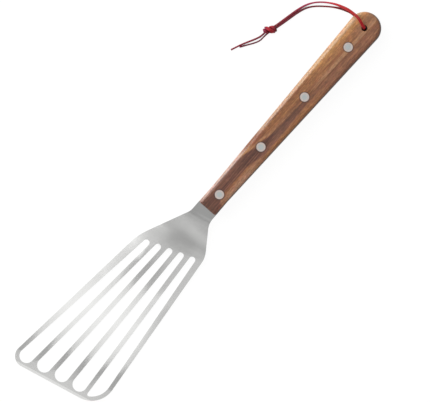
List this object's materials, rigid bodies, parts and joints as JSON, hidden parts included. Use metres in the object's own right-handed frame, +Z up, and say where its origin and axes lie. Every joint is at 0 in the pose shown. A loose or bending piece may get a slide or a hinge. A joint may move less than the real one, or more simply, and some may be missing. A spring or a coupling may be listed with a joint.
{
  "type": "fish spatula",
  "caption": "Slotted fish spatula: thin bent blade with fanned slots and a slanted front edge, full tang between riveted wooden scales, knotted leather lanyard.",
  "frame": {"origin": "on the table under the middle of the tool's overall length, on the centre line of the handle", "axes": "+X along the tool from the blade's front edge to the butt of the handle, +Y to the side that the lanyard leaves by, +Z up out of the face in view"},
  "size_m": [0.3257, 0.0884, 0.022],
  "materials": {
    "blade_steel": "satin stainless steel",
    "handle_wood": "oiled walnut, satin",
    "rivet_metal": "ground flush, satin",
    "lace_leather": "dyed leather, semi-matt"
  },
  "bodies": {
    "root": {"blade": "blade_steel", "front_scale": "handle_wood", "back_scale": "handle_wood", "rivet_1_barrel": "rivet_metal", "rivet_1_post": "rivet_metal", "rivet_2_barrel": "rivet_metal", "rivet_2_post": "rivet_metal", "rivet_3_barrel": "rivet_metal", "rivet_3_post": "rivet_metal", "rivet_4_barrel": "rivet_metal", "rivet_4_post": "rivet_metal", "lanyard_front_strand": "lace_leather", "lanyard_back_strand": "lace_leather", "lanyard_long_tail": "lace_leather", "lanyard_short_tail": "lace_leather", "lanyard_knot": "lace_leather"}
  },
  "joints": []
}
